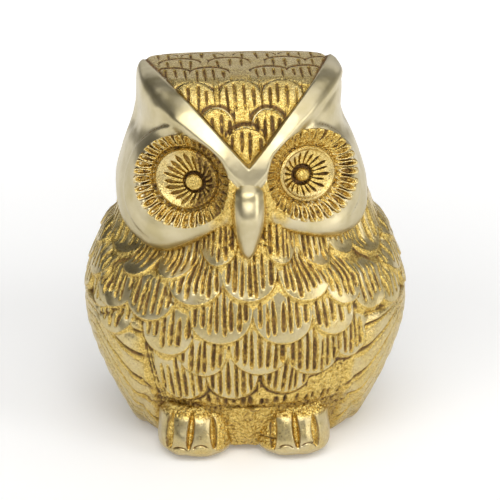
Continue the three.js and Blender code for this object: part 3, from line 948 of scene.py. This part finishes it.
def nape_scales(azimuth, z):
    """Lightly chased scales on the back of the head: height, share of the wear that is left, and grime with
    painted shade in their hollows.
    """
    nape = Relief(azimuth * NAPE_RADIUS, z)
    for row, tip in enumerate((52.5, 58.5, 64.5, 70.5, 76)):
        for step in range(19):
            place = -180 + 20 * (step + 0.5 * (row % 2))
            for whole in (0, 360) if abs(place) > 112 else ():
                rng = np.random.default_rng((SEED, 40 + row, step))
                at = math.radians(place + whole) * NAPE_RADIUS
                nape.scale(at, tip, 9.4, 11.0, 0.75, 5, rng, depth=0.35, thick=0.62)
    back = after(np.abs(np.degrees(azimuth)), 104, 8) * before(z, 80.5, 1.5)
    height = nape.height() * back
    wear, grime_and_shade = finish_from(height, 0.35, True)
    return height, 1 - back * (1 - wear), back * grime_and_shade * 0.8


def head_lining(surface):
    """Rings of points for the hollow inside of the head, from its lower edge upwards."""
    picked = (np.linspace(0, 1, 14)[1:] * (len(surface) - 1) * 0.96).astype(int)
    edge = surface[:1] * np.array((0.86, 0.86, 1.0)) + np.array((0, 0, 0.2))
    return np.concatenate([edge, HEAD_MIDDLE + (surface[picked] - HEAD_MIDDLE) * 0.84])


def head_piece():
    """The hollow head with its brows, cheeks, eye sockets and nape."""
    rows = 176
    azimuth = front_dense_azimuths(500, 0.42)
    edge_z = curve(np.degrees(azimuth), *zip(*FACE_EDGE))
    start = np.arctan2(edge_z - HEAD_MIDDLE[2], skull.radius(azimuth, edge_z))
    share = np.linspace(0, 1, rows)[:, None] ** 0.93
    elevation = start * (1 - share) + (math.pi / 2 - 0.004) * share
    azimuth = np.broadcast_to(azimuth, elevation.shape)
    p = head_surface(azimuth, elevation)
    x, y, z = np.moveaxis(p, -1, 0)
    normal = grid_normals(p, True)
    normal[-1] = (0, 0, 1)
    brow = brow_height(p)
    height = brow + 0.05 * noise(p, 4.5, 33) + 0.03 * noise(p, 1.6, 34)
    # The rounded underside of the cheeks and nape
    turn_radius = 4.2 - 1.6 * after(np.abs(np.degrees(azimuth)), 80, 30)
    under = np.clip(1 - (z - edge_z) / turn_radius, 0, 1)
    height -= turn_radius * 0.7 * (1 - np.sqrt(1 - under ** 2))
    # A fine cut line along the V, the recess for the feathered panel, and the hollow sides under the ears
    inside, along = v_distance(p)
    height -= 0.45 * bell(inside - 0.05, 0.35) * after(z, 66, 1)
    height -= 1.2 * after(inside, 0.2, 0.5) * before(y, 16, 2)
    height -= 1.1 * bell(inside + 10.5, 3.2) * after(z, 66, 4) * before(z, 83, 3) * before(y, 6, 8)
    skirt = beak_skirt(x, y, z)
    height += 0.9 * skirt * (1 - smooth(brow / 1.2))
    off_brow = 1 - smooth(brow / 0.8)
    surface, cheek_lines, rough = set_in_eyes(p + normal * height[..., None], normal, z, off_brow)
    rough = np.maximum(rough, skirt * before(z, 63, 1.5) * off_brow)
    coarse, fine = noise(p, 1.0, 35), noise(p, 0.55, 36)
    nape, nape_wear, nape_grime_and_shade = nape_scales(azimuth, z)
    height = rough * (0.16 * coarse + 0.10 * fine) + nape + 0.04 * noise(p, 5.0, 30)
    surface = surface + normal * height[..., None]
    # Painted shade: the rounded underside of the cheeks and nape is made less buffed and darker
    wear = (1 - 0.85 * after(under, 0.25, 0.5)) * (1 - 0.75 * rough) * nape_wear
    grime_and_shade = most(
        0.75 * cheek_lines,
        rough * 0.6 * after(-coarse, 0.15, 0.4),
        0.35 * after(under, 0.75, 0.25),
        bell(inside - 0.1, 0.42) * after(z, 66, 1) * (0.45 + 0.5 * after(along, 20, 10)),
        nape_grime_and_shade,
    )
    inner = head_lining(surface)
    plain = np.zeros(inner.shape[:2])
    return tube_object("head_casting", settle(np.concatenate([inner[::-1], surface])),
                       np.concatenate([plain, wear]), np.concatenate([plain + 0.5, grime_and_shade]))


def beak_piece():
    """The polished teardrop beak."""
    low, high = span("beak")
    share = np.linspace(0, 1, 120)[:, None]
    angle = np.linspace(-math.pi, math.pi, 110, endpoint=False)[None, :]
    half = curve(share, BEAK_HEIGHT, BEAK_HALF) * (high[0] + 0.25) * BEAK_STRETCH
    r = oval(angle, half, curve(share, BEAK_HEIGHT, BEAK_FRONT) * BEAK_REACH, 2.0, 2.5)
    z = low[2] - 1.7 + share * (high[2] - low[2] + 1.4) + 0 * angle
    hang = BEAK_SHIFT * (1 - share)
    points = np.stack([r * np.sin(angle) - hang, low[1] + 8.5 - r * np.cos(angle), z], -1)
    points = points + 0.05 * noise(points, 2.5, 41)[..., None] * LEVEL
    flank = after(np.abs(points[..., 0] + hang) / half, 0.66, 0.2)
    ahead = smooth(np.cos(angle) * 1.5 + 0 * share)
    wear = (1 - 0.95 * flank) * ahead * (0.55 + 0.45 * smooth(share / 0.12))
    return tube_object("beak_polished", settle(points), wear, 0.25 * flank * (1 - ahead))


def crown_grid(rows, columns):
    """Points on the plain head between the V's edges, their normals, and how far up each row is."""
    up = np.linspace(0.0, CROWN_LENGTH, rows)
    front = np.interp(up, CROWN_PATH_LENGTH, CROWN_PATH_FRONT)
    spot = np.stack([0 * front, -front, CROWN_Z - curve(front, CROWN_FALL_FRONT, CROWN_FALL_DROP)], -1)
    half = np.maximum(v_distance(spot)[0] - 0.1, 0.02) / math.sin(V_SLOPE)
    sideways = half[:, None, None] * np.linspace(-1, 1, columns)[:, None] * np.array((1.0, 0.0, 0.0))
    direction = spot[:, None] + sideways - HEAD_MIDDLE
    direction = direction / np.linalg.norm(direction, axis=-1, keepdims=True)
    base = cast(HEAD_MIDDLE, direction, head_value)
    normal = grid_normals(base, False)
    return base, np.where((np.sum(normal * direction, -1) < 0)[..., None], -normal, normal), up[:, None]


def crown_piece():
    """The feathered panel between the brows: raised scales in front, and lines cut into the flat top."""
    base, normal, up = crown_grid(250, 190)
    across = base[..., 0]
    up = up + 0 * across
    relief = Relief(across, up)
    for row, (tip, places, width, reach, lift) in reversed(list(enumerate(CROWN_SCALES))):
        depth, thick, stroke = (0.65, 0.38, 0.24) if row < 2 else (0.45, 0.29, 0.5)
        for count, place in enumerate(places):
            rng = np.random.default_rng((SEED, 50 + row, count))
            relief.scale(place, tip + rng.uniform(-0.3, 0.3), width, reach, lift, 4 if row < 4 else 3, rng,
                         depth, thick, up=-1, blunt=0.9, bare=1.3, stroke=stroke)
    flat = after(up, 20.2, 3)
    grain = noise(base, 0.7, 51)
    ridge = bell(relief.inside - 0.5, 0.34) * (1 - flat) * smooth(noise(base, 0.45, 53) + 0.9)
    crease = relief.gap * (1 - flat)
    height = relief.layer * (1 - 0.85 * flat) - relief.cut - 0.25 * flat * relief.line
    height = height + 0.45 * ridge * (1 - smooth(relief.cut / 0.2)) - 0.35 * crease
    edge = np.abs(across) - np.abs(np.where(across < 0, across[:, :1], across[:, -1:]))
    near_line = bell(edge * math.sin(V_SLOPE), 0.5)
    wear, grime_and_shade = finish_from(height, 0.22, False, sharp=0.55, broad=2.0)
    uncut = 1 - smooth(relief.cut / 0.15)
    wear = most(
        0.55 * wear * after(relief.inside, 0.7, 0.4) * uncut * (1 - 0.7 * before(up, 14, 4)),
        0.52 * flat * uncut,
        0.7 * after(ridge, 0.4, 0.4) * (1 - smooth(relief.cut / 0.2)),
    )
    height = height - 0.14 * smooth(grain) * (1 - wear) * (1 - flat) - 0.3 * near_line
    height = height - 0.15 + 0.03 * noise(base, 3.0, 52)
    # Painted shadow in the crease just outside the raised front scales' edges
    grime_and_shade = most(
        grime_and_shade * (1 - flat) * (0.5 + 0.5 * smooth(grain + 0.6)) * (1 - 0.8 * ridge),
        near_line * (0.35 + 0.6 * after(up, 16, 9)),
        flat * smooth(relief.line / 0.4),
        after(relief.cut, 0.1, 0.25) * (0.8 + 0.2 * flat) * smooth(grain + 1.0),
        0.9 * crease * smooth(grain + 1.2),
    )
    top = base + normal * height[..., None]
    return slab_object("crown_feathers", settle(top), settle(base - normal * SLAB), wear, grime_and_shade)


def wing_piece(side):
    """A folded wing: the body's plumage on a raised slab that sinks into the body at its edges."""
    low, high = span(f"{side}_wing")
    z = np.linspace(low[2] + 0.05, high[2] + 3.5, 182)[:, None]
    share = np.linspace(0, 1, 270)[None, :]
    first, last = wing_edges(z)
    azimuth = (1 if side == "left" else -1) * np.radians(first + (last - first) * share)
    z = z + 0 * azimuth
    base, out = body_surface(azimuth, z)
    height, wear, grime_and_shade = plumage(azimuth, z, False)
    border = np.minimum(share, 1 - share) * np.radians(last - first) * BODY_RADIUS
    rim = smooth(np.minimum(border, high[2] + 3.5 - z) / 5.0)
    height = height + 0.9 * rim - 0.6 * (1 - rim)
    outer, back = base + out * height[..., None], base - out * SLAB
    for grid in (outer, back):
        grid[..., 2] = np.maximum(grid[..., 2], low[2])
    return slab_object(f"{side}_wing_feathers", outer, back, wear, grime_and_shade)


def tail_piece():
    """The tail fan, with a groove between its feathers and fine barbs on them."""
    low, high = span("tail")
    z = np.linspace(low[2] + 0.05, high[2], 110)[:, None]
    share = np.linspace(-1, 1, 130)[None, :]
    half = curve(z, TAIL_HEIGHT, TAIL_HALF)
    azimuth = math.pi + share * half / 26.0
    z = z + 0 * azimuth
    base = torso.point(azimuth, z)
    normal = np.stack([np.sin(azimuth), -np.cos(azimuth), 0 * azimuth], -1)
    quill = share * half / TAIL_FEATHER
    part = np.abs(quill - np.round(quill)) * 2
    height = 1.9 - 0.9 * after(part, 0.7, 0.3) - 0.35 * bell(part, 0.12)
    height -= 0.16 * np.sin((z - part * 1.3) * 5.2) ** 2 * before(part, 0.85, 0.2) * after(part, 0.1, 0.1)
    rim = smooth((1 - np.abs(share)) * half / 1.2) * before(z, high[2], 1.5)
    wear, grime_and_shade = finish_from(height, 0.25, False)
    outer = base + normal * ((height + 0.3) * rim - 0.6 * (1 - rim))[..., None]
    return slab_object("tail_fan", outer, base - normal * 0.9, wear, grime_and_shade)


def foot_piece(side):
    """A foot with slits between its toes, nails, and rough ground on its inner side and top."""
    low, high = span(f"{side}_foot")
    middle = (low[0] + high[0]) / 2 - FOOT_SHIFT
    share = np.linspace(0, 1, 130)[:, None]
    angle = front_dense_azimuths(300, 0.45)[None, :]
    half = curve(share, FOOT_HEIGHT, FOOT_HALF) * (high[0] - low[0]) / 2 * FOOT_STRETCH
    r = oval(angle, half, curve(share, FOOT_HEIGHT, FOOT_FRONT) * FOOT_REACH, 3.0, 2.5)
    x = r * np.sin(angle)
    z = share * (high[2] + 1.6) + 0 * angle
    base = np.stack([middle + x, low[1] + FOOT_REACH + 1.2 - r * np.cos(angle), z], -1)
    ahead = smooth(np.cos(angle) * 3)
    grain = noise(base, 0.6, 72)
    slit, edges, valley, nail = (np.zeros_like(x) for _ in range(4))
    for k, (place, slant) in enumerate(TOE_SLITS[side]):
        off = x - place - slant * (z - 6)
        lens = np.clip(1 - ((z - 6.6 - 0.5 * (k % 2)) / (4.6 - 0.4 * k)) ** 2, 0, 1)
        edges = np.maximum(edges, bell(np.abs(off) - 0.2 - 0.62 * lens, 0.17) * smooth(lens * 3) * ahead)
        slit = np.maximum(slit, bell(off, 0.15 + 0.55 * lens, 4) * smooth(lens * 2.2) * ahead)
        valley = np.maximum(valley, bell(off, 1.5) * ahead)
    for place, top in NAILS[side]:
        ring = np.hypot((x - place) / 1.7, (z - top + 1.3) / 1.3)
        nail = np.maximum(nail, bell(ring - 1.0, 0.13) * after(z, top - 1.0, 0.5) * ahead)
    upper = after(z, 9.0, 2.4)
    rough = np.maximum(after(-x if side == "left" else x, 3.9, 1.6) * after(z, 1.5, 2), upper)
    pits = after(noise(base, 0.6, 74), 0.05, 0.4)
    height = 0.22 * noise(base, 3.4, 71) - 0.25 * valley - (1.1 + 0.14 * smooth(grain)) * slit - 0.30 * nail
    height -= rough * (0.18 * grain + 0.18 * pits) + 0.5 * upper
    wear = 0.72 * (1 - smooth(slit * 1.6)) * (1 - 0.9 * rough) * (0.35 + 0.65 * ahead)
    # Darker along the lowest millimetre, where the foot meets the floor
    grime_and_shade = most(
        0.35 * slit * smooth(grain + 0.3),
        0.85 * nail,
        0.75 * edges * (1 - upper),
        rough * 0.4 * pits,
        0.4 * before(z, 1.0, 1.0),
    )
    points = base + grid_normals(base, True) * height[..., None]
    points[..., 2] = np.maximum(points[..., 2], 0.0)
    return tube_object(f"{side}_foot_toes", points, wear, grime_and_shade)


def web_piece():
    """The low, rough casting between the feet."""
    _, high = span("foot_web")
    share = np.linspace(0, 1, 110)[:, None]
    angle = front_dense_azimuths(220, 0.3)[None, :]
    r = oval(angle, WEB_HALF, 4.8 + 7.8 * share ** 0.5, 2.0, 3.0)
    z = share * (high[2] + 3.2) + 0 * angle
    base = np.stack([r * np.sin(angle), -WEB_ROOT - r * np.cos(angle), z], -1)
    grain = noise(base, 0.7, 81)
    pits = after(noise(base, 0.6, 83), 0.05, 0.4)
    rib = bell(base[..., 0] - 0.4, 0.9) * after(z, 1, 3)
    height = 0.18 * grain + 0.3 * noise(base, 2.2, 82) - 0.16 * pits + 0.5 * rib
    height -= 0.8 * before(z, 1.6, 1.6) ** 2
    points = base + grid_normals(base, True) * height[..., None]
    points[..., 2] = np.maximum(points[..., 2], 0.0)
    return tube_object("web_casting", points, 0.3 * smooth(grain) * (1 - pits), 0.08 + 0.4 * pits)


# ---------------------------------------------------------------- finish

class Nodes:
    """Short ways to add nodes to a tree. An input is given a value, or the output of another node."""

    def __init__(self, tree):
        self.tree = tree

    def add(self, kind, inputs, **settings):
        made = self.tree.nodes.new("ShaderNode" + kind)
        for key, value in settings.items():
            setattr(made, key, value)
        self.feed(made, inputs)
        return made

    def feed(self, node, inputs):
        for key, value in inputs.items():
            if isinstance(value, bpy.types.NodeSocket):
                self.tree.links.new(value, node.inputs[key])
            else:
                node.inputs[key].default_value = value

    def coordinates(self, name):
        return self.add("TexCoord", {}).outputs[name]

    def attribute(self, name):
        return self.add("Attribute", {}, attribute_name=name).outputs["Fac"]

    def noise(self, where, scale, detail, roughness=0.6):
        inputs = {"Vector": where, "Scale": scale, "Detail": detail, "Roughness": roughness}
        return self.add("TexNoise", inputs).outputs["Fac"]

    def maths(self, operation, *values, clamp=False):
        return self.add("Math", dict(enumerate(values)), operation=operation, use_clamp=clamp).outputs[0]

    def swing(self, value, reach):
        """The value moved from around 0.5 to around 0, and scaled."""
        return self.maths("MULTIPLY", self.maths("SUBTRACT", value, 0.5), reach)

    def ramp(self, value, low, high, to_low=0.0, to_high=1.0, shape="SMOOTHSTEP"):
        inputs = {"Value": value, "From Min": low, "From Max": high, "To Min": to_low, "To Max": to_high}
        return self.add("MapRange", inputs, interpolation_type=shape).outputs["Result"]

    def mix(self, factor, first, second):
        inputs = {"Factor": factor, "A": first, "B": second}
        return self.add("Mix", inputs, data_type="RGBA").outputs["Result"]


def new_material(name):
    """A material, its nodes and its shader."""
    material = bpy.data.materials.new(name)
    material.use_nodes = True
    return material, Nodes(material.node_tree), material.node_tree.nodes["Principled BSDF"]


def brass_material():
    """Cast brass, from brown patina and painted shade through gold to pale buffed metal by the piece's two
    attributes.
    """
    material, nodes, shader = new_material("chased_brass")
    wear, grime_and_shade = nodes.attribute("wear"), nodes.attribute("grime_and_shade")
    where = nodes.coordinates("Object")
    patches = nodes.noise(where, PATCHES_PER_METRE, 3.0)
    specks = nodes.noise(where, SPECKS_PER_METRE, 3.0, 0.7)
    pores = nodes.noise(where, PORES_PER_METRE, 2.0)
    wear = nodes.maths("ADD", wear, nodes.swing(patches, 0.4), clamp=True)
    grime_and_shade = nodes.maths("ADD", grime_and_shade, nodes.ramp(wear, 0.0, 0.5, 0.10, 0.0))
    grime_and_shade = nodes.ramp(nodes.maths("ADD", grime_and_shade, nodes.swing(specks, 1.7), clamp=True), 0.30, 0.85)
    gold = nodes.mix(nodes.ramp(specks, 0.38, 0.62), *GOLD)
    pale = nodes.mix(nodes.ramp(patches, 0.3, 0.7), *PALE)
    brown = nodes.mix(nodes.ramp(specks, 0.4, 0.65), *BROWN)
    metal = nodes.mix(nodes.ramp(wear, 0.30, 0.95), gold, pale)
    rough = nodes.maths("ADD", nodes.ramp(wear, 0.3, 0.95, 0.22, 0.33), nodes.swing(specks, 0.18))
    granular = nodes.maths("MULTIPLY", specks, nodes.ramp(wear, 0.2, 0.9, 1.0, 0.06))
    fine = nodes.maths("MULTIPLY", pores, nodes.ramp(wear, 0.2, 0.9, 0.25, 0.05))
    height = nodes.maths("ADD", granular, fine)
    bump = nodes.add("Bump", {"Strength": 1.0, "Distance": GRAIN_HEIGHT, "Height": height})
    nodes.feed(shader, {
        "Base Color": nodes.mix(grime_and_shade, metal, brown),
        "Metallic": nodes.ramp(grime_and_shade, 0.3, 1.0, 1.0, 0.25),
        "Roughness": nodes.maths("ADD", rough, nodes.maths("MULTIPLY", grime_and_shade, 0.35), clamp=True),
        "Normal": bump.outputs["Normal"],
    })
    return material


BRASS = brass_material()


def stand_for(node, piece):
    """Gives a piece its finish, hangs it on the root body, and hides the CAD node it stands for."""
    piece.data.materials.append(BRASS)
    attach(piece, "root")
    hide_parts(node)


stand_for("body_shell", body_piece())
stand_for("head_shell", head_piece())
stand_for("crown_panel", crown_piece())
stand_for("beak", beak_piece())
stand_for("tail", tail_piece())
stand_for("foot_web", web_piece())
for side in ("left", "right"):
    stand_for(f"{side}_wing", wing_piece(side))
    stand_for(f"{side}_foot", foot_piece(side))
    stand_for(f"{side}_eye_ring", eye_ring_piece(side))
    stand_for(f"{side}_iris", iris_piece(side))
    stand_for(f"{side}_pupil", pupil_piece(side))


# ---------------------------------------------------------------- studio

def stand_at(name, data, azimuth, elevation, distance, target):
    """Adds a camera or a light at that distance from the target, and facing it."""
    a, e = math.radians(azimuth), math.radians(elevation)
    away = Vector((math.sin(a) * math.cos(e), -math.cos(a) * math.cos(e), math.sin(e)))
    holder = bpy.data.objects.new(name, data)
    holder.location = (Vector(target) + away * distance) * MM
    holder.rotation_euler = away.to_track_quat("Z", "Y").to_euler()
    bpy.context.scene.collection.objects.link(holder)
    return holder


def add_camera():
    camera = bpy.data.cameras.new("camera")
    camera.lens = VIEW_LENS
    camera.clip_start = 0.01
    view = VIEW_AZIMUTH, VIEW_ELEVATION, VIEW_DISTANCE, VIEW_TARGET
    bpy.context.scene.camera = stand_at("camera", camera, *view)


def add_floor():
    """White paper just under the owl with painted light: it glows, less near the owl and more the further
    away it is.
    """
    bpy.ops.mesh.primitive_plane_add(size=6.0, location=(0, 0, -0.2 * MM))
    floor = bpy.context.object
    floor.name = "floor"
    white, nodes, shader = new_material("glowing_paper")
    far = nodes.add("VectorMath", {0: nodes.coordinates("Object")}, operation="LENGTH").outputs["Value"]
    nodes.feed(shader, {
        "Base Color": (0.9, 0.9, 0.9, 1),
        "Roughness": 0.9,
        "Emission Color": (1, 1, 1, 1),
        "Emission Strength": nodes.ramp(far, 0.09, 0.36, 0.17, 0.64, "LINEAR"),
    })
    floor.data.materials.append(white)


def add_world():
    """Even light that is weaker from above and from the owl's own right."""
    world = bpy.data.worlds.new("studio")
    world.use_nodes = True
    nodes = Nodes(world.node_tree)
    split = nodes.add("SeparateXYZ", {0: nodes.coordinates("Generated")}).outputs
    shade = nodes.ramp(split["Z"], 0.0, 0.7, 0.44, 0.19, "LINEAR")
    strength = nodes.maths("MULTIPLY_ADD", split["X"], 0.17, shade, clamp=True)
    nodes.feed(world.node_tree.nodes["Background"], {"Color": (1, 0.98, 0.94, 1), "Strength": strength})
    bpy.context.scene.world = world


def add_lights():
    for name, azimuth, elevation, distance, width, height, energy in LIGHTS:
        data = bpy.data.lights.new(name, "AREA")
        data.shape = "RECTANGLE"
        data.size, data.size_y = width * MM, height * MM
        data.energy = energy
        stand_at(name, data, azimuth, elevation, distance, LIGHT_TARGET)


bpy.context.scene.view_settings.view_transform = "Standard"
add_camera()
add_floor()
add_world()
add_lights()
